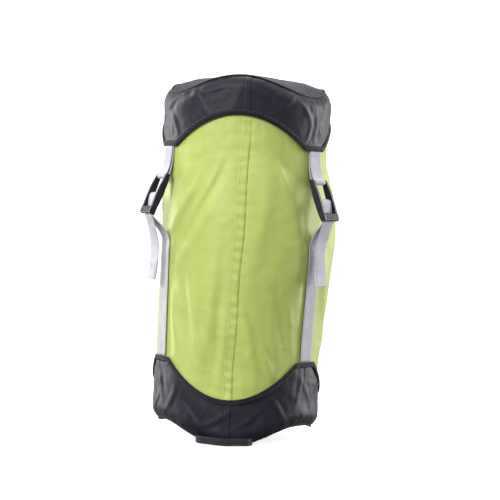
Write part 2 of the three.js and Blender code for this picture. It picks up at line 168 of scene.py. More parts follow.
def rim_pull(deg):
    return (1 - np.cos(np.radians(3 * np.asarray(deg, float)))) / 2


def back_seam(deg):
    return (1 - rim_pull(deg)) * (1 - np.cos(np.radians(deg))) / 1.5


def lid_edge(deg):
    return lerp(LID_LOBE_Z, LID_ARC_Z, scallop(deg))


def lid_rim(deg):
    return LID_TOP_Z - LID_RIM_DROP * rim_pull(deg) - LID_RIM_BACK_DROP * back_seam(deg)


def base_edge(deg):
    return lerp(BASE_LOBE_Z, BASE_ARC_Z, scallop(deg))


def base_rim(deg):
    return BASE_RIM_LIFT * rim_pull(deg) + BASE_RIM_BACK_LIFT * back_seam(deg)


def body_radius(deg, z):
    deg = np.asarray(deg, float)
    low = base_edge(deg) - 4 * MM
    high = lid_edge(deg) - BULGE_STOP
    along = np.clip((z - low) / (high - low), 0, 1)
    valley = VALLEY_SHARE * np.exp(-((from_strap(deg) / VALLEY_DEG) ** 2))
    swell = (BULGE + BOW * np.sin(np.radians(deg))) * (1 - valley)
    return BODY_RADIUS + swell * np.sin(np.pi * along**BULGE_SKEW)


def swept_by_lid(deg, z):
    """1 where the lid's edge passes over the body when the lid is drawn down, and 0 lower down."""
    return smooth((z - (lid_edge(deg) - BULGE_STOP)) / (10 * MM))


def strap_distance(deg):
    return from_strap(deg) * np.pi / 180 * BODY_RADIUS


def skirt_radius(from_rim):
    turn = 1 - np.clip(from_rim / RIM_ROUNDING, 0, 1)
    return CAP_RADIUS - (CAP_RADIUS - RIM_RADIUS) * turn * turn


# ---- mesh helpers ----
def three(stem):
    """The names of the three nodes that share a stem."""
    return [f"{stem}_{n}" for n in STRAPS]


def in_metres(points):
    return [(a * MM, b * MM) for a, b in points]


def lengths_along(points):
    """How far each point of a line is from its first, measured along it."""
    return np.concatenate([[0], np.cumsum(np.linalg.norm(np.diff(points, axis=0), axis=1))])


def unit(rows):
    return rows / np.linalg.norm(rows, axis=1)[:, None]


def uv_grid(u, v):
    return np.stack(np.broadcast_arrays(u, v), axis=-1)


def round_circle(sides):
    return np.arange(sides) * 2 * np.pi / sides


def link(name, mesh):
    obj = bpy.data.objects.new(name, mesh)
    bpy.context.scene.collection.objects.link(obj)
    return obj


def smooth_object(name, mesh):
    mesh.polygons.foreach_set("use_smooth", [True] * len(mesh.polygons))
    return link(name, mesh)


def grid_object(name, points, uv=None, wrap=True, uv_name="cloth"):
    """A sheet of quads: rows go up, columns go round. uv holds each point's place on the cloth, in metres."""
    rows, cols = points.shape[:2]
    index = np.arange(rows * cols).reshape(rows, cols)
    left = index if wrap else index[:, :-1]
    right = np.roll(index, -1, axis=1) if wrap else index[:, 1:]
    faces = np.stack([left[:-1], right[:-1], right[1:], left[1:]], axis=-1).reshape(-1, 4)
    mesh = bpy.data.meshes.new(name)
    mesh.from_pydata(points.reshape(-1, 3).tolist(), [], faces.tolist())
    if uv is not None:
        layer = mesh.uv_layers.new(name=uv_name)
        if wrap:
            uv = np.concatenate([uv, uv[:, :1] + [2 * np.pi * CAP_RADIUS, 0]], axis=1)
        wide = np.arange(rows * uv.shape[1]).reshape(rows, -1)
        corners = np.stack([wide[:-1, :-1], wide[:-1, 1:], wide[1:, 1:], wide[1:, :-1]], axis=-1)
        layer.data.foreach_set("uv", uv.reshape(-1, 2)[corners.reshape(-1)].ravel())
    return smooth_object(name, mesh)


def skin(name, rings, uv=None, looped=False):
    """A surface through rings of points, with flat ends, or with its last ring joined to its first."""
    rows, cols = rings.shape[:2]
    index = np.arange(rows * cols).reshape(rows, cols)
    after = np.roll(index, -1, axis=1)
    if looped:
        ahead = np.roll(index, -1, axis=0)
        quads = np.stack([index, ahead, np.roll(ahead, -1, axis=1), after], axis=-1)
        ends = []
    else:
        quads = np.stack([index[:-1], after[:-1], after[1:], index[1:]], axis=-1)
        ends = [index[0][::-1].tolist(), index[-1].tolist()]
    mesh = bpy.data.meshes.new(name)
    mesh.from_pydata(rings.reshape(-1, 3).tolist(), [], quads.reshape(-1, 4).tolist() + ends)
    if uv is not None:
        layer = mesh.uv_layers.new(name="webbing")
        loops = np.zeros(len(mesh.loops), int)
        mesh.loops.foreach_get("vertex_index", loops)
        layer.data.foreach_set("uv", uv.reshape(-1, 2)[loops].ravel())
    work = bmesh.new()
    work.from_mesh(mesh)
    bmesh.ops.recalc_face_normals(work, faces=work.faces)
    work.to_mesh(mesh)
    work.free()
    return smooth_object(name, mesh)


def subdivide(obj):
    smoothing = obj.modifiers.new("smoothing", "SUBSURF")
    smoothing.levels = smoothing.render_levels = 1


def thicken(obj, thickness):
    solid = obj.modifiers.new("thickness", "SOLIDIFY")
    solid.thickness = thickness
    solid.offset = -1
    return obj


def finish_piece(obj, body, material, nodes=()):
    """Gives a piece its material, slot and body. A piece that passes None for its body is left without one.
    """
    obj.data.materials.append(material)
    if nodes:
        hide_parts(*nodes)
    if body:
        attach(obj, body)


def fractal(points, scale, octaves=3, seed=0):
    """Smooth noise between about -1 and 1 at each point."""
    shift = Vector((seed * 3.7, seed * 1.3, seed * 5.1))
    flat = points.reshape(-1, 3)
    values = [noise.fractal(Vector(p) * scale + shift, 0.9, 2.0, octaves) for p in flat]
    return np.array(values).reshape(points.shape[:-1])


def crease(points, scale, seed=0):
    """Sharp-crested folds, as in crumpled nylon: 0 in the hollows, 1 along the crests."""
    return 1 - np.clip(np.abs(fractal(points, scale, 2, seed)) * 2.2, 0, 1)


# ---- materials ----
THREAD_PITCH = 0.5 * MM


def new_material(name, roughness):
    made = bpy.data.materials.new(name)
    made.use_nodes = True
    shader = made.node_tree.nodes["Principled BSDF"]
    shader.inputs["Roughness"].default_value = roughness
    return made, made.node_tree.nodes, made.node_tree.links, shader


def add_node(nodes, kind, **values):
    node = nodes.new(kind)
    for key, value in values.items():
        if key in node.inputs:
            node.inputs[key].default_value = value
        else:
            setattr(node, key, value)
    return node


def shaded_colour(nodes, links, shader, dark, light, scale):
    """Colour that wanders between two shades over the piece."""
    place = nodes.new("ShaderNodeTexCoord")
    cloud = add_node(nodes, "ShaderNodeTexNoise", Scale=scale, Detail=4)
    links.new(place.outputs["Object"], cloud.inputs["Vector"])
    ramp = nodes.new("ShaderNodeValToRGB")
    for element, position, colour in zip(ramp.color_ramp.elements, (0.35, 0.65), (dark, light)):
        element.position = position
        element.color = (*colour, 1)
    links.new(cloud.outputs["Fac"], ramp.inputs["Fac"])
    links.new(ramp.outputs["Color"], shader.inputs["Base Color"])


def waves(nodes, links, uv_name, axis, period):
    """Even threads across one direction of the cloth, a period apart."""
    place = add_node(nodes, "ShaderNodeUVMap", uv_map=uv_name)
    wave = add_node(nodes, "ShaderNodeTexWave", bands_direction=axis, Scale=math.pi / (10 * period))
    links.new(place.outputs["UV"], wave.inputs["Vector"])
    return wave.outputs["Fac"]


def combine(nodes, links, operation, a, b):
    node = add_node(nodes, "ShaderNodeMath", operation=operation)
    links.new(a, node.inputs[0])
    if isinstance(b, (int, float)):
        node.inputs[1].default_value = b
    else:
        links.new(b, node.inputs[1])
    return node.outputs[0]


def add_bump(nodes, links, shader, height, distance, strength=1, under=None):
    bump = add_node(nodes, "ShaderNodeBump", Strength=strength, Distance=distance)
    links.new(height, bump.inputs["Height"])
    if under:
        links.new(under.outputs["Normal"], bump.inputs["Normal"])
    links.new(bump.outputs["Normal"], shader.inputs["Normal"])
    return bump


def cloth_material(name, dark, light, roughness, sheen, shine, crinkle, crinkle_scale):
    made, nodes, links, shader = new_material(name, roughness)
    shaded_colour(nodes, links, shader, dark, light, 22)
    shader.inputs["Sheen Weight"].default_value = sheen
    shader.inputs["Sheen Roughness"].default_value = 0.4
    shader.inputs["Specular IOR Level"].default_value = shine
    place = nodes.new("ShaderNodeTexCoord")
    crumple = add_node(nodes, "ShaderNodeTexNoise", Scale=crinkle_scale, Detail=5, Distortion=0.6)
    links.new(place.outputs["Object"], crumple.inputs["Vector"])
    soft = add_bump(nodes, links, shader, crumple.outputs["Fac"], crinkle)
    warp = waves(nodes, links, "cloth", "X", THREAD_PITCH)
    weft = waves(nodes, links, "cloth", "Y", THREAD_PITCH)
    weave = combine(nodes, links, "MULTIPLY", warp, weft)
    add_bump(nodes, links, shader, weave, 0.06 * MM, 0.6, soft)
    return made


def webbing_material(name, dark, light, roughness=0.62):
    """Woven tape: fine ribs along it, crossed by the weft, from the piece's own u and v."""
    made, nodes, links, shader = new_material(name, roughness)
    shaded_colour(nodes, links, shader, dark, light, 60)
    shader.inputs["Sheen Weight"].default_value = 0.1
    shader.inputs["Specular IOR Level"].default_value = 0.25
    ribs = waves(nodes, links, "webbing", "X", 1.6 * MM)
    weft = waves(nodes, links, "webbing", "Y", 0.9 * MM)
    slant = waves(nodes, links, "webbing", "DIAGONAL", 1.1 * MM)
    low = add_bump(nodes, links, shader, ribs, 0.22 * MM, 0.8)
    weave = combine(nodes, links, "ADD", combine(nodes, links, "MULTIPLY", weft, 0.6), slant)
    add_bump(nodes, links, shader, weave, 0.12 * MM, 0.8, low)
    return made


def plastic_material(name, dark, light, roughness=0.42):
    made, nodes, links, shader = new_material(name, roughness)
    shader.inputs["Specular IOR Level"].default_value = 0.3
    shaded_colour(nodes, links, shader, dark, light, 120)
    place = nodes.new("ShaderNodeTexCoord")
    grain = add_node(nodes, "ShaderNodeTexNoise", Scale=1400, Detail=2)
    links.new(place.outputs["Object"], grain.inputs["Vector"])
    add_bump(nodes, links, shader, grain.outputs["Fac"], 0.03 * MM, 0.7)
    return made


def thread_material(name, dark, light):
    made, nodes, links, shader = new_material(name, 0.55)
    shaded_colour(nodes, links, shader, dark, light, 300)
    place = nodes.new("ShaderNodeTexCoord")
    ply = add_node(nodes, "ShaderNodeTexWave", Scale=900, bands_direction="DIAGONAL")
    links.new(place.outputs["Object"], ply.inputs["Vector"])
    add_bump(nodes, links, shader, ply.outputs["Fac"], 0.05 * MM, 0.8)
    return made


GREEN_CLOTH = cloth_material("green_nylon", (0.46, 0.535, 0.13), (0.51, 0.585, 0.155),
                             0.48, 0.12, shine=0.35, crinkle=0.6 * MM, crinkle_scale=55)
GRANITE_CLOTH = cloth_material("granite_nylon", (0.012, 0.01, 0.019), (0.019, 0.017, 0.029),
                               0.48, 0.04, shine=0.27, crinkle=0.5 * MM, crinkle_scale=110)
BINDING_TAPE = webbing_material("binding_tape", (0.009, 0.008, 0.012), (0.014, 0.013, 0.018), 0.7)
SILVER_WEBBING = webbing_material("silver_webbing", (0.48, 0.48, 0.52), (0.56, 0.56, 0.61))
DARK_WEBBING = webbing_material("dark_webbing", (0.016, 0.015, 0.02), (0.028, 0.026, 0.034))
BLACK_PLASTIC = plastic_material("black_plastic", (0.01, 0.009, 0.016), (0.015, 0.014, 0.024))
DARK_THREAD = thread_material("dark_thread", (0.03, 0.028, 0.036), (0.05, 0.048, 0.06))
GREEN_THREAD = thread_material("green_thread", (0.3, 0.4, 0.05), (0.38, 0.48, 0.07))
SILVER_THREAD = thread_material("silver_thread", (0.5, 0.5, 0.55), (0.62, 0.62, 0.67))


# ---- cloth that buckles ----
CLOTH_SETTINGS = {"quality": 6, "mass": 0.1, "tension_stiffness": 25, "compression_stiffness": 25,
                  "shear_stiffness": 8, "bending_stiffness": 0.25, "air_damping": 3}
WALL_SPARE, WALL_FRAMES = 0.035, 14
SKIRT_SPARE, SKIRT_FRAMES = 0.03, 12


def buckled(points, held, spare, frames):
    """Cloth simulation of a ring of cloth with a share too much cloth in it, held where held is 1."""
    sheet = grid_object("settling", points)
    sheet.shape_key_add(name="placed")
    cut = sheet.shape_key_add(name="cut")
    larger = points * np.array([1 + spare, 1 + spare, 1 + spare * 0.6])
    cut.data.foreach_set("co", larger.ravel())
    group = sheet.vertex_groups.new(name="held")
    for index, weight in enumerate(held.ravel()):
        if weight > 0:
            group.add([index], float(weight), "REPLACE")
    cloth = sheet.modifiers.new("cloth", "CLOTH")
    for key, value in CLOTH_SETTINGS.items():
        setattr(cloth.settings, key, value)
    cloth.settings.vertex_group_mass = "held"
    cloth.settings.rest_shape_key = cut
    cloth.settings.effector_weights.gravity = 0
    cloth.point_cache.frame_start = 1
    cloth.point_cache.frame_end = frames
    scene = bpy.context.scene
    for frame_number in range(1, frames + 1):
        scene.frame_set(frame_number)
    solved = sheet.evaluated_get(bpy.context.evaluated_depsgraph_get())
    result = np.zeros(points.size)
    solved.data.vertices.foreach_get("co", result)
    bpy.data.objects.remove(sheet, do_unlink=True)
    scene.frame_set(1)
    return result.reshape(points.shape)


# ---- stuffed body ----
BODY_COLUMNS = 300
COLUMN_DEGS = np.arange(BODY_COLUMNS) * 360 / BODY_COLUMNS
WALL_ROWS = 150
FRONT_SEAM_TWIST = 5
SEAM_BAND = 10 * MM

# folds: angle, height, lean from upright, half length, half width, depth
FOLDS = [
    (-38, 262, 34, 34, 5, 1.6), (-28, 246, 30, 40, 6, -1.5), (-18, 285, 26, 26, 4, 1.1),
    (-50, 226, 18, 42, 6, 1.3), (-45, 130, -12, 42, 6, 1.8), (-34, 150, -8, 52, 6, -1.6),
    (-24, 118, -14, 46, 5, 1.5), (-14, 150, 6, 60, 6, 1.3), (-58, 165, 6, 50, 6, 1.5),
    (-9, 105, 4, 42, 4, -1.1), (12, 118, -16, 44, 5, 1.2), (24, 96, -26, 30, 5, 1.3),
    (36, 128, -12, 46, 6, -1.1), (18, 250, 8, 60, 8, 0.8), (42, 240, -10, 60, 8, 0.9),
    (30, 300, -20, 22, 4, 0.9), (-62, 290, 24, 26, 4, 1.2), (78, 170, -14, 50, 7, 1.3),
    (92, 240, 10, 50, 7, 1.2), (104, 130, 16, 46, 6, -1.3), (84, 105, 24, 30, 5, 1.2),
    (140, 250, -18, 40, 6, 1.5), (152, 140, 12, 50, 6, -1.5), (166, 200, 8, 46, 5, 1.2),
    (134, 110, -18, 36, 5, 1.4), (200, 250, 16, 44, 6, 1.4), (214, 150, -14, 50, 6, 1.5),
    (226, 220, 10, 44, 6, -1.3), (250, 130, 14, 46, 6, 1.4), (262, 220, -18, 48, 7, 1.3),
    (276, 150, 10, 48, 6, -1.4), (286, 260, -22, 34, 5, 1.2),
]


def fold_relief(deg, z, folds, round_radius):
    total = np.zeros(np.broadcast(deg, z).shape)
    for centre, height, lean, half_length, half_width, depth in folds:
        side = ((deg - centre + 180) % 360 - 180) * np.pi / 180 * round_radius
        rise = z - height * MM
        c, s = math.cos(math.radians(lean)), math.sin(math.radians(lean))
        along = rise * c + side * s
        across = side * c - rise * s + (along / (half_length * MM)) ** 2 * 2 * MM
        width = half_width * MM
        crest = np.exp(-((across / width) ** 2)) - 0.55 * np.exp(-(((across - 1.7 * width) / width) ** 2))
        total += depth * MM * crest * np.exp(-((along / (half_length * MM)) ** 2))
    return total


def seam_lean(seam, z):
    """The front seam has been twisted a few degrees round the sack on its way up."""
    return seam + (FRONT_SEAM_TWIST * smooth((z - 40 * MM) / (320 * MM)) if seam == 0 else 0)


def seam_distance(deg, z, radius):
    nearest = np.min([degrees_from(deg, seam_lean(seam, z)) for seam in SEAMS], axis=0)
    return nearest * np.pi / 180 * radius


def placed_relief(deg, z, points):
    """How far the cloth stands in or out of its plain shape before it buckles."""
    below_lid = lid_edge(deg) - z
    above_base = z - base_edge(deg)
    open_zone = smooth(below_lid / (14 * MM)) * smooth(above_base / (10 * MM))
    folds = 1.5 * fold_relief(deg, z, FOLDS, BODY_RADIUS)
    slack = 0.55 * MM * fractal(points * [1, 1, 0.55], 26, 3, 2) + 0.35 * MM * (crease(points, 34, 5) - 0.5)
    seam = seam_distance(deg, z, BODY_RADIUS)
    ripple = np.sin(z / (2.1 * MM) + 5 * fractal(points, 18, 2, 9))
    pucker = 0.42 * MM * ripple * np.exp(-seam / (9 * MM)) * (0.5 + 0.5 * smooth((z - 0.2) / 0.14))
    pulled = -0.9 * MM * np.exp(-((seam / (7 * MM)) ** 2))
    gather_top = np.sin(np.radians(deg) * 46 + 4 * fractal(points, 12, 2, 4))
    gather = 0.5 * MM * gather_top * (np.exp(-below_lid / (16 * MM)) + 0.8 * np.exp(-above_base / (16 * MM)))
    beside_strap = smooth((strap_distance(deg) - 9 * MM) / (10 * MM))
    return open_zone * ((folds + slack) * beside_strap + pucker + pulled + gather * beside_strap)


def shoulder_height(deg):
    return SHOULDER_Z - SHOULDER_DROP * rim_pull(deg)


def buckled_wall():
    """Radial relief of the body's wall on a grid of height shares and angles."""
    deg = COLUMN_DEGS[None, :]
    share = np.linspace(0, 1, WALL_ROWS)[:, None]
    z = lerp(BODY_BOTTOM_Z, shoulder_height(deg), share)
    plain = body_radius(deg, z)
    relief = placed_relief(deg + 0 * z, z, at_angle(deg, plain, z))
    covered = 1 - smooth((lid_edge(deg) - z) / (10 * MM)) * smooth((z - base_edge(deg)) / (8 * MM))
    under_strap = 1 - smooth((strap_distance(deg) - 9 * MM) / (5 * MM))
    held = np.maximum(covered, under_strap)
    placed = at_angle(deg, plain + relief, z)
    solved = buckled(placed, held, WALL_SPARE, WALL_FRAMES)
    relief = np.hypot(solved[..., 0], solved[..., 1]) - plain
    relief = np.clip(relief, -3 * MM, 3.5 * MM) * (1 - held * held)
    return lerp(relief, np.minimum(relief, 0.1 * MM), swept_by_lid(deg, z))


WALL_RELIEF = buckled_wall()


def body_relief(deg, z):
    """The wall's relief at any angle and height, read between the points of its grid."""
    row = np.clip((z - BODY_BOTTOM_Z) / (shoulder_height(deg) - BODY_BOTTOM_Z), 0, 1) * (WALL_ROWS - 1)
    column = (np.asarray(deg, float) % 360) * BODY_COLUMNS / 360
    row, column = np.broadcast_arrays(row, column)
    low, left = np.minimum(row.astype(int), WALL_ROWS - 2), column.astype(int) % BODY_COLUMNS
    right = (left + 1) % BODY_COLUMNS
    up, across = row - low, column - np.floor(column)
    bottom = lerp(WALL_RELIEF[low, left], WALL_RELIEF[low, right], across)
    top = lerp(WALL_RELIEF[low + 1, left], WALL_RELIEF[low + 1, right], across)
    return lerp(bottom, top, up)


def body_cloth():
    """The wall, the shoulder that turns in over the stuffing, and the top gathered into the mouth."""
    shoulder_rows, top_rows = 12, 20
    deg = COLUMN_DEGS[None, :]
    pull = rim_pull(deg)
    shoulder = shoulder_height(deg)
    rise = lerp(CREST_RISE, CREST_RISE_AT_STRAP, pull)
    share = np.linspace(0, 1, WALL_ROWS)[:, None]
    z = lerp(BODY_BOTTOM_Z, shoulder, share)
    radius = body_radius(deg, z) + WALL_RELIEF
    turn = np.linspace(0, np.pi / 2, shoulder_rows + 1)[1:, None]
    shoulder_radius = CREST_RADIUS + (BODY_RADIUS - CREST_RADIUS) * np.cos(turn) + 0 * deg
    shoulder_z = shoulder + rise * np.sin(turn)
    inward = np.linspace(0, 1, top_rows + 1)[1:, None]
    top_radius = lerp(CREST_RADIUS, MOUTH_EDGE_RADIUS, inward) + 0 * deg
    top_z = lerp(shoulder + rise, MOUTH_EDGE_Z, smooth(inward / DIMPLE_SHARE))
    pleat = np.sin(np.radians(deg) * 22) + 0.5 * np.sin(np.radians(deg) * 37 + 1)
    top_z = top_z - 0.9 * MM * (1 + pleat / 1.5) * smooth(inward * 1.5)
    all_radius = np.concatenate([radius, shoulder_radius, top_radius])
    all_z = np.concatenate([z, shoulder_z, top_z])
    points = at_angle(deg, all_radius, all_z)
    up = np.concatenate([[0], np.cumsum(np.hypot(np.diff(all_radius[:, 0]), np.diff(all_z[:, 0])))])
    cloth = grid_object("body_cloth", points, uv_grid(np.radians(deg) * BODY_RADIUS, up[:, None]))
    subdivide(cloth)
    thicken(cloth, 0.7 * MM)
    finish_piece(cloth, "base", GREEN_CLOTH, three("body_panel"))


body_cloth()


EDGE_ROUNDING = 0.45


def strip_along(name, centre, across, normal, width, thickness, crown=0.0):
    """A closed strip of webbing through the given stations, with round edges and its own u and v."""
    corner = thickness * EDGE_ROUNDING
    half, high = width / 2, thickness / 2
    outline = []
    for side_x, side_y, start in ((1, 1, 0), (-1, 1, 90), (-1, -1, 180), (1, -1, 270)):
        for step in range(4):
            t = math.radians(start + 30 * step)
            outline.append((side_x * (half - corner) + corner * math.cos(t),
                            side_y * (high - corner) + corner * math.sin(t)))
        if side_x == side_y:
            for share in np.linspace(0, 1, 9)[1:-1]:
                x = lerp(side_x, -side_x, share) * (half - corner)
                outline.append((x, side_y * (high + crown * (1 - (x / half) ** 2))))
    outline = np.array(outline)
    rings = centre[:, None] + outline[None, :, :1] * across[:, None] + outline[None, :, 1:] * normal[:, None]
    return skin(name, rings, uv_grid(outline[None, :, 0], lengths_along(centre)[:, None]))


def smooth_line(points, count):
    """Points evenly spaced along a Catmull-Rom line through the given ones."""
    points = np.asarray(points, float)
    ends = np.vstack([2 * points[0] - points[1], points, 2 * points[-1] - points[-2]])
    fine = []
    for i in range(len(points) - 1):
        a, b, c, d = ends[i : i + 4]
        for t in np.linspace(0, 1, 24, endpoint=False):
            fine.append(0.5 * (2 * b + (c - a) * t + (2 * a - 5 * b + 4 * c - d) * t**2
                               + (3 * b - a - 3 * c + d) * t**3))
    fine.append(points[-1])
    fine = np.array(fine)
    lengths = lengths_along(fine)
    wanted = np.linspace(0, lengths[-1], count)
    return np.stack([np.interp(wanted, lengths, fine[:, k]) for k in range(fine.shape[1])], axis=-1)


def radial_strip(name, deg, route, count, thickness=WEBBING, twist=None):
    """A strip whose route lies in the upright plane at an angle: (radius, z) points in metres."""
    line = smooth_line(route, count)
    step = unit(np.gradient(line, axis=0))
    out = outward(np.array(float(deg)))
    upward = np.array([0, 0, 1])
    centre = line[:, :1] * out + line[:, 1:] * upward
    normal = step[:, 1:] * out - step[:, :1] * upward
    across = np.repeat(sideways(deg)[None, :], count, axis=0)
    if twist is not None:
        angle = np.radians(np.interp(np.linspace(0, 1, count), *zip(*twist)))[:, None]
        across, normal = (across * np.cos(angle) + normal * np.sin(angle),
                          normal * np.cos(angle) - across * np.sin(angle))
    return strip_along(name, centre, across, normal, WEBBING_WIDTH, thickness)


def stitch_line(name, points, out, body, material, length=2.6 * MM, pitch=3.4 * MM, size=0.42 * MM):
    """A row of thread stitches on a surface: points along the row, with the outward direction at each."""
    lengths = lengths_along(points)
    count = max(2, int(lengths[-1] / pitch))

    def read(values, place):
        return np.array([np.interp(place, lengths, values[:, k]) for k in range(3)])

    work = bmesh.new()
    for place in (np.arange(count) + 0.5) * lengths[-1] / count:
        first, last = read(points, place - length / 2), read(points, place + length / 2)
        up = read(out, place)
        up /= np.linalg.norm(up)
        way = last - first
        way /= np.linalg.norm(way)
        side = np.cross(up, way)
        turn = Matrix((side * size, up * size * 0.7, way * length / 2)).transposed().to_4x4()
        turn.translation = Vector((first + last) / 2 + up * size * 0.25)
        bmesh.ops.create_icosphere(work, subdivisions=1, radius=1, matrix=turn)
    mesh = bpy.data.meshes.new(name)
    work.to_mesh(mesh)
    work.free()
    finish_piece(smooth_object(name, mesh), body, material)


def seam_band(n, deg):
    """The flat-felled seam: a doubled band over the joint of two panels, with two rows of stitches."""
    count = 190
    half_degs = SEAM_BAND / 2 / BODY_RADIUS * 180 / np.pi
    low, high = base_edge(deg) - 6 * MM, SHOULDER_Z - 1 * MM
    z = np.linspace(low, high, count)[:, None]
    columns = np.linspace(-1, 1, 15)[None, :]
    bent = seam_lean(deg, z) + columns * half_degs + 0.35 * np.sin(z * 60)
    swept = swept_by_lid(bent, z)
    band = lerp(0.85, 0.35, swept) * MM * (1 - np.abs(columns) ** 3) + 0.08 * MM
    ripple = 0.3 * MM * np.sin(z / (1.9 * MM) + columns) * (1 - swept)
    proud = band + ripple * smooth((1 - np.abs(columns)) * 3)
    points = at_angle(bent, body_radius(bent, z) + body_relief(bent, z) + proud, z)
    band_piece = grid_object(f"body_seam_{n}", points, uv_grid(columns * SEAM_BAND / 2, z), wrap=False)
    finish_piece(thicken(band_piece, 0.5 * MM), "base", GREEN_CLOTH)
    rows = slice(6, count - 10)
    for side, column in (("a", 2), ("b", 12)):
        stitch_line(f"body_seam_{n}_stitches_{side}", points[rows, column], outward(bent[rows, column]),
                    "base", GREEN_THREAD)


for n, deg in enumerate(SEAMS, 1):
    seam_band(n, deg)


# ---- caps ----
CAP_COLUMNS = 360
CAP_DEGS = np.arange(CAP_COLUMNS) * 360 / CAP_COLUMNS
SKIRT_ROWS = 44
TURNED_SHARE = 0.34
SKIRT_DENT = 1.6 * MM
CAP_SEAM_HALF = 4 * MM
DISC_COLUMNS = 240

# crumples of the lid and the base: angle, height, lean, half length, half width, depth
LID_FOLDS = [
    (-58, 372, 50, 16, 3.4, 1.6), (-44, 384, 62, 18, 3.2, 1.7), (-30, 378, -40, 16, 3, 1.3),
    (-72, 356, 20, 16, 3, 1.4), (-52, 350, -30, 16, 3, 1.3), (-16, 388, 70, 14, 3, 1.0),
    (14, 384, -60, 14, 3, 1.0), (34, 376, 44, 16, 3, 1.3), (50, 366, -36, 18, 3.4, 1.6),
    (60, 352, 8, 16, 3, 1.6), (70, 372, 28, 16, 3, 1.6), (52, 342, 24, 12, 2.4, 1.1),
    (68, 340, -22, 12, 2.4, 1.1), (88, 380, -60, 16, 3, 1.4), (104, 376, 50, 16, 3, 1.3),
    (150, 378, -44, 18, 3, 1.5), (172, 366, 24, 18, 3, 1.5), (186, 350, -16, 16, 3, 1.5),
    (208, 380, 50, 16, 3, 1.4), (250, 380, -50, 16, 3, 1.3), (274, 370, 40, 18, 3, 1.4),
]
BASE_FOLDS = [
    (-58, 62, -20, 20, 3.4, 1.5), (-44, 46, 34, 18, 3.2, 1.4), (-66, 40, 50, 16, 3, 1.4),
    (-28, 34, -46, 18, 3, 1.2), (-8, 26, 62, 16, 3, 1.0), (16, 30, 50, 18, 3, 1.1),
    (36, 40, -36, 18, 3.2, 1.3), (54, 62, 14, 18, 3.2, 1.5), (66, 50, -30, 18, 3.2, 1.6),
    (60, 78, 4, 12, 2.4, 1.1), (88, 44, 44, 18, 3, 1.3), (112, 30, -50, 16, 3, 1.2),
    (150, 50, 34, 18, 3, 1.4), (176, 66, -14, 18, 3, 1.5), (198, 46, 40, 18, 3, 1.4),
    (236, 30, -40, 16, 3, 1.2), (268, 44, 30, 18, 3, 1.4), (290, 60, -24, 18, 3, 1.5),
]

# relief of each cap's skirt, kept for the seam that lies on it
RELIEFS = {}


def cap_relief(deg, z, points, edge, rim, folds, seed):
    """Crumpled, coated nylon, which near its edge only stands outwards, because the body is close inside."""
    from_rim = np.abs(z - rim)
    from_edge = np.abs(z - edge)
    folded = fold_relief(deg, z, folds, CAP_RADIUS)
    crumple = 0.9 * MM * (crease(points, 20, seed) - 0.35) + 0.5 * MM * fractal(points, 40, 3, seed + 3)
    gather = 0.5 * MM * np.sin(np.radians(deg) * 40 + 5 * fractal(points, 14, 2, seed + 5))
    gather = gather * np.exp(-from_rim / (9 * MM))
    lobe = np.exp(-((from_strap(deg) / 13) ** 2))
    bunched = 0.35 * MM * np.sin(np.radians(deg) * 62 + 3 * fractal(points, 20, 2, seed + 7)) * lobe
    bunched = bunched * np.exp(-from_edge / (20 * MM))
    relief = 0.7 * folded + crumple + gather + bunched
    held = smooth(from_edge / (16 * MM))
    return lerp(np.clip(relief, 0, 0.9 * MM), relief + 0.5 * MM, held)


def skirt_height(deg, edge, rim):
    """Height of a skirt's rows, from its rim round its turned part to its edge, and which way that is."""
    share = np.linspace(0, 1, SKIRT_ROWS)[:, None]
    towards = np.sign(edge(0) - rim(0))
    upright = rim(deg) + towards * RIM_ROUNDING
    turning = rim(deg) + towards * RIM_ROUNDING * share / TURNED_SHARE
    straight = lerp(upright, edge(deg), (share - TURNED_SHARE) / (1 - TURNED_SHARE))
    return np.where(share < TURNED_SHARE, turning, straight), towards


def cap_skirt(name, edge, rim, folds, seed, body, nodes):
    deg = CAP_DEGS[None, :]
    z, towards = skirt_height(deg, edge, rim)
    from_rim, from_edge = np.abs(z - rim(deg)), np.abs(z - edge(deg))
    radius = skirt_radius(from_rim)
    relief = cap_relief(deg + 0 * z, z, at_angle(deg, radius, z), edge(deg), rim(deg), folds, seed)
    relief = relief * smooth(from_rim / (3 * MM) + 0.15)
    held = np.maximum(1 - smooth(from_rim / (4 * MM)), 1 - smooth((from_edge - 5 * MM) / (6 * MM)))
    solved = buckled(at_angle(deg, radius + relief, z), held, SKIRT_SPARE, SKIRT_FRAMES)
    solved_relief = np.hypot(solved[..., 0], solved[..., 1]) - radius
    relief = lerp(np.clip(solved_relief, -SKIRT_DENT, 4.5 * MM), relief, held)
    relief = np.maximum(relief, -SKIRT_DENT * smooth((from_edge - 26 * MM) / (10 * MM)))
    points = at_angle(deg, radius + relief, z)
    RELIEFS[name] = relief
    if towards < 0:
        points, z = points[::-1], z[::-1]
    skirt = grid_object(name, points, uv_grid(np.radians(deg) * CAP_RADIUS, z))
    subdivide(skirt)
    thicken(skirt, 0.6 * MM)
    finish_piece(skirt, body, GRANITE_CLOTH, nodes)


cap_skirt("lid_skirt_cloth", lid_edge, lid_rim, LID_FOLDS, 11, "lid", three("lid_skirt"))
cap_skirt("base_skirt_cloth", base_edge, base_rim, BASE_FOLDS, 23, "base", three("base_skirt"))


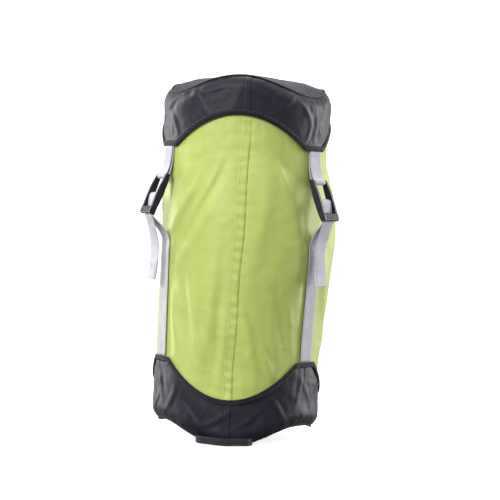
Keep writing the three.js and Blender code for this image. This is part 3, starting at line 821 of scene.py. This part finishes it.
def disc_cloth(name, height, up, seed, body, node):
    """The round end of a cap: from its sewn rim to the middle, crumpled, with gathers at the rim."""
    deg = np.arange(DISC_COLUMNS)[None, :] * 360 / DISC_COLUMNS
    r = RIM_RADIUS * np.linspace(1, 0.004, 46)[:, None]
    z = height(r, deg)
    flat = at_angle(deg, r, z)
    gather = 0.7 * MM * np.sin(np.radians(deg) * 40) * np.exp(-(RIM_RADIUS - r) / (9 * MM))
    crumple = 1.3 * MM * (crease(flat, 20, seed) - 0.4) + 0.5 * MM * fractal(flat, 44, 3, seed + 2)
    fade = smooth((RIM_RADIUS - r) / (8 * MM)) * (1 if up else smooth((r - BASE_FLAT_RADIUS) / (20 * MM)))
    relief = crumple * fade + gather
    if not up:
        relief = -np.clip(relief, -2 * MM, 0)
    points = at_angle(deg, r, z + relief)
    uv = points[..., :2]
    if not up:
        points, uv = points[::-1], uv[::-1]
    disc = grid_object(name, points, uv)
    work = bmesh.new()
    work.from_mesh(disc.data)
    holes = [e for e in work.edges if e.is_boundary and Vector(e.verts[0].co).xy.length < 2 * MM]
    bmesh.ops.contextual_create(work, geom=holes)
    work.to_mesh(disc.data)
    work.free()
    thicken(disc, 0.6 * MM)
    finish_piece(disc, body, GRANITE_CLOTH, [node])


def lid_disc_height(r, deg):
    return lerp(LID_CROWN_Z, lid_rim(deg), (r / RIM_RADIUS) ** 3)


def base_disc_height(r, deg):
    out = np.clip((r - BASE_FLAT_RADIUS) / (RIM_RADIUS - BASE_FLAT_RADIUS), 0, 1)
    return base_rim(deg) * (1 - (1 - out) ** 2)


disc_cloth("lid_disc_cloth", lid_disc_height, True, 31, "lid", "lid_disc")
disc_cloth("base_disc_cloth", base_disc_height, False, 37, "base", "base_disc")


def tube_round(name, centre, out, up, radius_out, radius_up, sides=10):
    """A closed ring of oval section: out and up are its section's two directions at each station."""
    t = round_circle(sides)
    rings = (centre[:, None] + np.cos(t)[None, :, None] * radius_out * out[:, None]
             + np.sin(t)[None, :, None] * radius_up * up[:, None])
    return skin(name, rings, uv_grid(t[None, :] * radius_up, lengths_along(centre)[:, None]), looped=True)


def binding(name, edge, inwards, body, nodes):
    """Tape folded over the scalloped edge and sewn down. inwards is 1 where the cap lies above its edge."""
    count = 540
    deg = np.arange(count) * 360 / count
    z = edge(deg)
    line = at_angle(deg, CAP_RADIUS + 0.5 * MM, z)
    way = unit(np.roll(line, -1, axis=0) - np.roll(line, 1, axis=0))
    out = outward(deg)
    up = np.cross(out, way) * inwards
    up = np.where((up[:, 2] * inwards < 0)[:, None], -up, up)
    lobe = np.exp(-((from_strap(deg) / 13) ** 2))[:, None]
    gathers = np.sin(np.radians(deg) * 70 + 4 * fractal(line, 30, 2, 6))[:, None]
    lift = 0.35 * MM * fractal(line, 60, 2, 3)[:, None] + 0.45 * MM * gathers * lobe
    half = BINDING_WIDTH / 2
    inward = half - 0.8 * MM + 0.6 * MM * np.abs(gathers) * lobe
    centre = line + up * inward + out * (0.6 * MM + np.abs(lift))
    tape = tube_round(name, centre, out, up, 1.05 * MM, half, 12)
    finish_piece(tape, body, BINDING_TAPE, nodes)
    row = centre + up * (half * 0.45) + out * 0.95 * MM
    row = np.vstack([row, row[:1]])
    stitch_line(name + "_stitches", row, np.vstack([out, out[:1]]), body, DARK_THREAD)


binding("lid_binding_tape", lid_edge, 1, "lid", three("lid_binding"))
binding("base_binding_tape", base_edge, -1, "base", three("base_binding"))


def rim_seam(name, rim, body):
    """The ridge where a disc is sewn to its skirt."""
    count = 420
    deg = np.arange(count) * 360 / count
    line = at_angle(deg, RIM_RADIUS + 0.2 * MM, rim(deg))
    out = outward(deg)
    bob = fractal(line, 40, 2, 8)[:, None]
    lift = 0.4 * MM + 0.5 * MM * bob if body == "lid" else -0.4 * MM + 0.4 * MM * np.abs(bob)
    centre = line + np.array([0, 0, 1]) * lift
    centre[:, 2] = np.maximum(centre[:, 2], 1.5 * MM)
    up = np.repeat([[0.0, 0.0, 1.0]], count, axis=0)
    finish_piece(tube_round(name, centre, out, up, 1.1 * MM, 1.4 * MM), body, BINDING_TAPE)


rim_seam("lid_rim_seam", lid_rim, "lid")
rim_seam("base_rim_seam", base_rim, "base")


def cap_seam(name, deg, edge, rim, skirt, body):
    """The upright seam of a cap's skirt, standing a little proud."""
    columns = np.linspace(-1, 1, 9)[None, :]
    bent = deg + columns * np.degrees(CAP_SEAM_HALF / CAP_RADIUS)
    z, towards = skirt_height(bent, edge, rim)
    place = (bent % 360) * CAP_COLUMNS / 360
    left = np.floor(place).astype(int) % CAP_COLUMNS
    right = (left + 1) % CAP_COLUMNS
    rows = np.arange(SKIRT_ROWS)[:, None]
    relief = lerp(RELIEFS[skirt][rows, left], RELIEFS[skirt][rows, right], place - np.floor(place))
    proud = 0.6 * MM * smooth((1 - np.abs(columns)) * 5) + 0.1 * MM
    points = at_angle(bent, skirt_radius(np.abs(z - rim(bent))) + relief + proud, z)
    if towards < 0:
        points, z = points[::-1], z[::-1]
    band = thicken(grid_object(name, points, uv_grid(columns * CAP_SEAM_HALF, z), wrap=False), 0.5 * MM)
    finish_piece(band, body, GRANITE_CLOTH)


for n, deg in enumerate(SEAMS, 1):
    cap_seam(f"lid_seam_{n}", float(seam_lean(deg, LID_ARC_Z)), lid_edge, lid_rim, "lid_skirt_cloth", "lid")
    cap_seam(f"base_seam_{n}", float(deg), base_edge, base_rim, "base_skirt_cloth", "base")


# ---- straps and ladder locks ----
def in_lock(along, out):
    """Radius and height of a place in a ladder lock: along from its top bar, and out from its base line."""
    c, s = math.cos(math.radians(LOCK_TILT_DEG)), math.sin(math.radians(LOCK_TILT_DEG))
    return (LOCK_RADIUS + (along * s + out * c) * MM, LOCK_Z + (out * s - along * c) * MM)


def spot(deg, radius, z):
    """A place at an angle, radius and height, as a tuple."""
    return tuple(at_angle(deg, radius, z))


STRAP_LIFT = 1.6 * MM
STRAP_SPLIT_Z = 214 * MM


def standing_strap(n, deg):
    """From under the base cap up the side of the sack and into the lock's lower end."""
    rise = [(float(body_radius(deg, z)) + STRAP_LIFT, z) for z in np.linspace(92 * MM, 222 * MM, 12)]
    last = in_lock(47.4, -1.2)
    free = [(lerp(rise[-1][0], last[0], 0.42), 235 * MM), last]
    route = smooth_line(rise + free, 160)
    split = int(np.searchsorted(route[:, 1], STRAP_SPLIT_Z))
    lower = radial_strip(f"standing_strap_low_{n}", deg, route[: split + 2], 70)
    upper = radial_strip(f"standing_strap_high_{n}", deg, route[split:], 24)
    finish_piece(lower, None, SILVER_WEBBING, [f"standing_strap_{n}"])
    spot(deg, 0.1, 0.1)
    spot(deg, 0.1, 0.21)
    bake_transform(lower)
    finish_piece(upper, None, SILVER_WEBBING)
    spot(deg, 0.1, 0.216)
    spot(deg, 0.1, last[1] - 0.001)
    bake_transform(upper)


# the webbing round the middle bar, as (along, out) in the lock; the rest as (radius, z), all in mm
HAIRPIN = ((46, -1.2), (36, -1.2), (26, -1.2), (22.6, -1), (20.4, 1.2), (22.8, 3.5), (27, 3.5), (32, 2.6),
           (37, 1.6), (42, 1.5), (46.6, 1.5))
TAIL = ((111.5, 237), (107.6, 222), (106.2, 208), (106.4, 196.8))
TAIL_HEM = ((106.4, 197.5), (107.2, 186), (109, 176.3))
TAIL_SPLIT_Z = 232 * MM
HEM_STITCH_ROWS_Z = (193.5 * MM, 190.5 * MM)


def strap_turn(n, deg):
    """Round the middle bar and back down past the lip."""
    turn = radial_strip(f"strap_turn_cloth_{n}", deg, [in_lock(*p) for p in HAIRPIN], 90)
    finish_piece(turn, f"ladder_lock_{n}", SILVER_WEBBING, [f"strap_turn_{n}"])


def strap_tail(n, deg):
    """The loose end: a bend out of the lock, a straight run, and a folded hem sewn across."""
    route = smooth_line([in_lock(46.4, 1.5)] + in_metres(TAIL), 80)
    split = int(np.argmax(route[:, 1] < TAIL_SPLIT_Z))
    split_z = route[split][1]
    twist = [(0, 0), (0.5, 5 if n != 2 else -4), (1, 0)]
    upper = radial_strip(f"strap_tail_high_{n}", deg, route[: split + 1], 24)
    lower = radial_strip(f"strap_tail_low_{n}", deg, route[split:], 50, twist=twist)
    finish_piece(upper, None, SILVER_WEBBING, [f"strap_tail_{n}"])
    spot(deg, 0.11, route[0][1])
    spot(deg, 0.11, split_z)
    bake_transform(upper)
    finish_piece(lower, None, SILVER_WEBBING)
    spot(deg, 0.11, split_z)
    spot(deg, 0.11, 0.2)
    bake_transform(lower)
    hem = radial_strip(f"tail_hem_cloth_{n}", deg, in_metres(TAIL_HEM), 30, thickness=2.8 * MM)
    finish_piece(hem, f"tail_end_{n}", SILVER_WEBBING, [f"tail_hem_{n}"])
    out = outward(np.array(float(deg)))
    for row, z in enumerate(HEM_STITCH_ROWS_Z):
        for face, sign in (("out", 1), ("in", -1)):
            on_face = out * (106.9 * MM + sign * 1.45 * MM) + [0, 0, z]
            ends = np.array([on_face + sideways(deg) * d for d in (-8.5 * MM, 8.5 * MM)])
            stitch_line(f"tail_hem_stitches_{n}_{row}_{face}", ends, np.array([out * sign] * 2),
                        f"tail_end_{n}", SILVER_THREAD,
                        length=1.9 * MM, pitch=2.4 * MM, size=0.36 * MM)


TAB_OUTER = ((93.9, 324.5), (94.4, 316), (95.9, 305), (98.4, 297))
TAB_INNER = ((95.3, 297), (93.3, 306), (92.5, 316), (92.4, 324.5))
TAB_LOOP = 2.75 * MM
TAB_STITCHES = ((-7.5, 321.5), (7.5, 321.5), (7.5, 313.5), (-7.5, 313.5), (-7.5, 321.5), (7.5, 313.5))


def lid_tab(n, deg):
    """Webbing sewn to the lid's lobe and looped round the lock's top bar."""
    loop = []
    for t in np.linspace(78, -200, 34):
        angle = math.radians(t)
        loop.append((LOCK_RADIUS + TAB_LOOP * math.cos(angle), LOCK_Z + TAB_LOOP * math.sin(angle)))
    route = in_metres(TAB_OUTER) + loop + in_metres(TAB_INNER)
    tab = radial_strip(f"lid_tab_cloth_{n}", deg, route, 120, thickness=1.2 * MM)
    finish_piece(tab, "lid", SILVER_WEBBING, [f"lid_tab_{n}"])
    out = outward(np.array(float(deg)))
    ends = []
    for x, z in TAB_STITCHES:
        r = lerp(94.6, 94.95, (321.5 - z) / 8) * MM
        ends.append(out * r + sideways(deg) * x * MM + [0, 0, z * MM])
    stitch_line(f"lid_tab_stitches_{n}", np.array(ends), np.array([out] * len(ends)), "lid",
                SILVER_THREAD, length=1.8 * MM, pitch=2.3 * MM, size=0.36 * MM)


# sections of the ladder lock, as (along, out) in mm
RAIL = ((-3, -1.9), (-2.4, 2.2), (4, 3.6), (14, 5.4), (26, 6.4), (36, 6.6), (40, 7.4), (44.6, 7.2), (46, 5.2),
        (45.4, 1.6), (40, 0.2), (32, -1), (20, -2.2), (6, -2.6))
MIDDLE_BAR = ((22.4, 0.6), (22.9, 2.2), (24, 2.5), (27.6, 2.5), (28, 1.6), (27.4, -0.1), (23.4, -0.1))
LIP_BAR = ((36.4, 4.6), (37.6, 3.1), (44.6, 3.1), (45.8, 4.6), (45, 6.6), (38, 6.8))
TOOTH = ((37.2, 6.5), (38, 7.35), (43.6, 7.2), (44.4, 6.4))
TOP_BAR_RADIUS = 1.7
TOOTH_PITCH, TOOTH_HALF_WIDTH = 2.6 * MM, 0.75 * MM


def rounded(outline, reach, steps=4):
    """The outline with each corner cut to a curve that starts a set reach along its sides."""
    result = []
    count = len(outline)
    for i in range(count):
        a, b, c = (np.array(outline[(i + k) % count], float) for k in (-1, 0, 1))
        first = b + (a - b) * min(0.45, reach / np.linalg.norm(a - b))
        last = b + (c - b) * min(0.45, reach / np.linalg.norm(c - b))
        for t in np.linspace(0, 1, steps):
            result.append(tuple((1 - t) ** 2 * first + 2 * t * (1 - t) * b + t * t * last))
    return result


def moulded(work, deg, outline, left, right):
    """Adds a solid of the given lock outline between two places across the lock."""
    out = outward(np.array(float(deg)))
    sides = []
    for x in (left, right):
        places = [in_lock(along, away) for along, away in outline]
        sides.append([work.verts.new(out * r + sideways(deg) * x + np.array([0, 0, z])) for r, z in places])
    work.faces.new(sides[0][::-1])
    work.faces.new(sides[1])
    count = len(outline)
    for i in range(count):
        j = (i + 1) % count
        work.faces.new((sides[0][i], sides[0][j], sides[1][j], sides[1][i]))


def ladder_lock(n, deg):
    work = bmesh.new()
    rail = rounded(RAIL, 1.4)
    inner = LOCK_HALF_WIDTH - RAIL_WIDTH
    moulded(work, deg, rail, -LOCK_HALF_WIDTH, -inner)
    moulded(work, deg, rail, inner, LOCK_HALF_WIDTH)
    reach = inner + 0.4 * MM
    moulded(work, deg, rounded(MIDDLE_BAR, 0.7), -reach, reach)
    moulded(work, deg, rounded(LIP_BAR, 1.0), -reach, reach)
    turns = np.arange(20) * np.pi / 10
    top_bar = [(TOP_BAR_RADIUS * math.cos(t), TOP_BAR_RADIUS * math.sin(t)) for t in turns]
    moulded(work, deg, top_bar, -reach, reach)
    for k in range(-3, 4):
        x = k * TOOTH_PITCH
        moulded(work, deg, rounded(TOOTH, 0.4, 3), x - TOOTH_HALF_WIDTH, x + TOOTH_HALF_WIDTH)
    bmesh.ops.recalc_face_normals(work, faces=work.faces)
    mesh = bpy.data.meshes.new(f"ladder_lock_shell_{n}")
    work.to_mesh(mesh)
    work.free()
    lock = smooth_object(f"ladder_lock_shell_{n}", mesh)
    bevel = lock.modifiers.new("edges", "BEVEL")
    bevel.width = 0.35 * MM
    bevel.segments = 2
    bevel.limit_method = "ANGLE"
    bevel.angle_limit = math.radians(50)
    weighted = lock.modifiers.new("shading", "WEIGHTED_NORMAL")
    weighted.keep_sharp = True
    finish_piece(lock, f"ladder_lock_{n}", BLACK_PLASTIC, [f"ladder_lock_{n}"])


for n, deg in STRAPS.items():
    standing_strap(n, deg)
    strap_turn(n, deg)
    strap_tail(n, deg)
    lid_tab(n, deg)
    ladder_lock(n, deg)


# ---- grab handle ----
# the handle's route, as (angle, radius in mm)
HANDLE = ((-22.6, 86.4), (-21.2, 89.2), (-19.5, 91.6), (-14, 94.9), (-4, 95.6), (8, 95.4), (13, 94.4),
          (15, 92.6), (16.8, 89.6), (18, 86.4))


def grab_handle():
    """Webbing folded double, lying round the front of the base's rim and sewn in at both ends."""
    low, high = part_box("grab_handle")
    count = 110
    route = smooth_line([(deg, r * MM) for deg, r in HANDLE], count)
    centre = outward(route[:, 0]) * route[:, 1:]
    wave = 0.5 * MM * np.sin(np.linspace(0, 9, count))
    centre[:, 2] = (low[2] + high[2]) / 2 + wave * np.sin(np.linspace(0, np.pi, count))
    up = np.repeat([[0.0, 0.0, 1.0]], count, axis=0)
    side = unit(np.cross(up, unit(np.gradient(centre, axis=0))))
    width = (high[2] - low[2]) - 1.2 * MM
    for name, push, nodes in (("outer", -0.75, ["grab_handle"]), ("inner", 0.75, [])):
        layer_centre = centre + side * push * MM
        layer = strip_along(f"grab_handle_{name}", layer_centre, up, side, width, 1.5 * MM, crown=0.12 * MM)
        finish_piece(layer, "base", DARK_WEBBING, nodes)
    for row, rise in (("low", -0.3), ("high", 0.3)):
        stitch_line(f"grab_handle_stitches_{row}", centre - side * 1.52 * MM + up * width * rise, -side,
                    "base", DARK_THREAD)


grab_handle()


# ---- mouth under the lid ----
def mouth_hem():
    """The gathered hem the drawcord runs in, with the gap its ends come out of."""
    low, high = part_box("mouth_hem")
    open_half = 5.6 * MM / (26.4 * MM)
    t = np.linspace(open_half, 2 * np.pi - open_half, 260)
    out = outward(np.degrees(t))
    centre = out * HEM_RADIUS
    centre[:, 2] = (low[2] + high[2]) / 2
    a = round_circle(16)
    pleat = 1 + 0.07 * np.sin(t * 34)[:, None] + 0.04 * np.sin(t * 53 + 1)[:, None]
    half_wide, half_high = 5.0 * MM, (high[2] - low[2]) / 2 - 0.3 * MM
    ring = (centre[:, None] + out[:, None] * (np.cos(a)[None] * half_wide * pleat)[..., None]
            + np.array([0, 0, 1]) * (np.sin(a)[None] * half_high * pleat)[..., None])
    hem = grid_object("mouth_hem_cloth", ring, uv_grid(a[None] * half_wide, t[:, None] * HEM_RADIUS))
    thicken(hem, 0.7 * MM)
    finish_piece(hem, "base", GREEN_CLOTH, ["mouth_hem"])


mouth_hem()


def braided_cord(name, points, radius, nodes):
    """A round braided cord along a line."""
    step = unit(np.gradient(points, axis=0))
    side = unit(np.cross(step, [0, 0, 1.0]))
    up = np.cross(side, step)
    t = round_circle(14)
    spokes = np.cos(t)[None, :, None] * side[:, None] + np.sin(t)[None, :, None] * up[:, None]
    uv = uv_grid(t[None] * radius, lengths_along(points)[:, None])
    piece = grid_object(name, points[:, None] + spokes * radius, uv, uv_name="webbing")
    finish_piece(piece, "base", DARK_CORD, nodes)


DARK_CORD = webbing_material("dark_cord", (0.06, 0.06, 0.075), (0.13, 0.13, 0.15))


def drawcord():
    """Two strands through the cord lock that part and run round inside the hem, and their knot."""
    ring_z, strand, start_deg = 363 * MM, 2.6 * MM, 9.5
    lock_y, lock_z = CORD_LOCK_CENTRE[1:]
    ring = at_angle(np.linspace(start_deg, 360 - start_deg, 80), HEM_RADIUS, ring_z)
    route = [(strand, y, lock_z) for y in (-47 * MM, lock_y, -30 * MM)] + [(2.9 * MM, -25 * MM, 363.8 * MM)]
    back = [(-x, y, z) for x, y, z in route[::-1]]
    line = smooth_line(np.vstack([route, ring, back]), 420)
    braided_cord("drawcord_braid", line, 1.45 * MM, ["drawcord"])
    low, high = (np.array(v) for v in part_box("drawcord_knot"))
    middle, half = (low + high) / 2, (high - low) / 2
    t = np.linspace(0, 2 * np.pi, 160, endpoint=False)
    tube = half.min() * 0.42
    knot = np.stack([np.sin(t) + 2 * np.sin(2 * t), np.sin(3 * t) * 0.9, np.cos(t) - 2 * np.cos(2 * t)])
    knot = knot.transpose()
    closed = middle + knot / np.abs(knot).max(axis=0) * (half - tube)
    ways = unit(np.roll(closed, -1, axis=0) - np.roll(closed, 1, axis=0))
    side = unit(np.cross(ways, closed - middle))
    piece = tube_round("drawcord_knot_braid", closed, side, np.cross(ways, side), tube, tube, 12)
    finish_piece(piece, "base", DARK_CORD, ["drawcord_knot"])


drawcord()


# the cord lock's two parts, as (along, radius) in mm from its centre
BARREL = ((-15, 4.2), (-14.6, 4.7), (-14, 5), (-12.5, 5), (-12.2, 4.75), (-11.7, 4.75), (-11.4, 5), (6.6, 5),
          (7.4, 4.8), (8, 4.3), (8, 4.05), (7.6, 3.9), (-12, 3.9))
BUTTON = ((7.8, 3.55), (11, 3.6), (11.6, 3.4), (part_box("cord_lock_button")[1][0] / MM, 2.6))


def turned(name, profile, body, nodes):
    """A part of the cord lock, turned on a lathe round its axis, which lies along X."""
    t = round_circle(40)
    spokes = np.cos(t)[:, None] * [0, -1, 0] + np.sin(t)[:, None] * [0, 0, 1]
    rings = [np.array(CORD_LOCK_CENTRE) + [along, 0, 0] + spokes * r for along, r in in_metres(profile)]
    piece = skin(name, np.array(rings))
    piece.data.set_sharp_from_angle(angle=math.radians(40))
    finish_piece(piece, body, BLACK_PLASTIC, nodes)


turned("cord_lock_shell", BARREL, "base", ["cord_lock_barrel"])
turned("cord_lock_cap", BUTTON, "cord_lock_button", ["cord_lock_button"])


# ---- stage and light ----
def backdrop_material():
    """White paper that is lit evenly from behind."""
    made, nodes, links, shader = new_material("backdrop_white", 0.9)
    for key, value in (("Base Color", (0.8, 0.8, 0.8, 1)), ("Emission Color", (1, 1, 1, 1)),
                       ("Emission Strength", 0.82), ("Specular IOR Level", 0)):
        shader.inputs[key].default_value = value
    return made


def make_stage():
    """A pale floor that curves up into a backdrop behind the sack."""
    profile = [(-3.5, 0), (1.2, 0)]
    profile += [(1.2 + 1.1 * math.sin(t), 1.1 - 1.1 * math.cos(t)) for t in np.linspace(0.1, np.pi / 2, 12)]
    profile += [(2.3, 4.5)]
    verts = [(x, y, z - 0.0005) for y, z in profile for x in (-5, 5)]
    faces = [(2 * i, 2 * i + 1, 2 * i + 3, 2 * i + 2) for i in range(len(profile) - 1)]
    mesh = bpy.data.meshes.new("backdrop")
    mesh.from_pydata(verts, [], faces)
    backdrop = link("backdrop", mesh)
    mesh.materials.append(backdrop_material())
    backdrop.visible_diffuse = False
    backdrop.visible_glossy = False


def area_light(name, position, size, power):
    data = bpy.data.lights.new(name, "AREA")
    data.shape = "RECTANGLE"
    data.size, data.size_y = size
    data.energy = power
    light = bpy.data.objects.new(name, data)
    bpy.context.scene.collection.objects.link(light)
    light.location = position
    light.rotation_euler = (Vector(MIDDLE) - Vector(position)).to_track_quat("-Z", "Y").to_euler()


def make_world():
    """Soft light from all round, weaker from below."""
    world = bpy.data.worlds.new("studio")
    world.use_nodes = True
    nodes, links = world.node_tree.nodes, world.node_tree.links
    place = nodes.new("ShaderNodeTexCoord")
    parts = nodes.new("ShaderNodeSeparateXYZ")
    fade = nodes.new("ShaderNodeMapRange")
    for key, value in (("From Min", -0.8), ("From Max", 0.8), ("To Min", 0.12), ("To Max", 0.86)):
        fade.inputs[key].default_value = value
    links.new(place.outputs["Generated"], parts.inputs[0])
    links.new(parts.outputs["Z"], fade.inputs["Value"])
    links.new(fade.outputs["Result"], nodes["Background"].inputs["Strength"])
    nodes["Background"].inputs["Color"].default_value = (1, 1, 1, 1)
    bpy.context.scene.world = world


make_stage()
MIDDLE = (0, 0, 0.2)
area_light("key", (-0.95, -1.4, 1.0), (0.6, 0.8), 27)
area_light("rim_left", (-1.1, 0.6, 0.35), (0.4, 1.1), 13)
area_light("rim_right", (1.1, 0.6, 0.35), (0.4, 1.1), 17)
area_light("top", (0, 0.35, 1.6), (0.9, 0.6), 12)
make_world()
bpy.context.scene.view_settings.view_transform = "Standard"
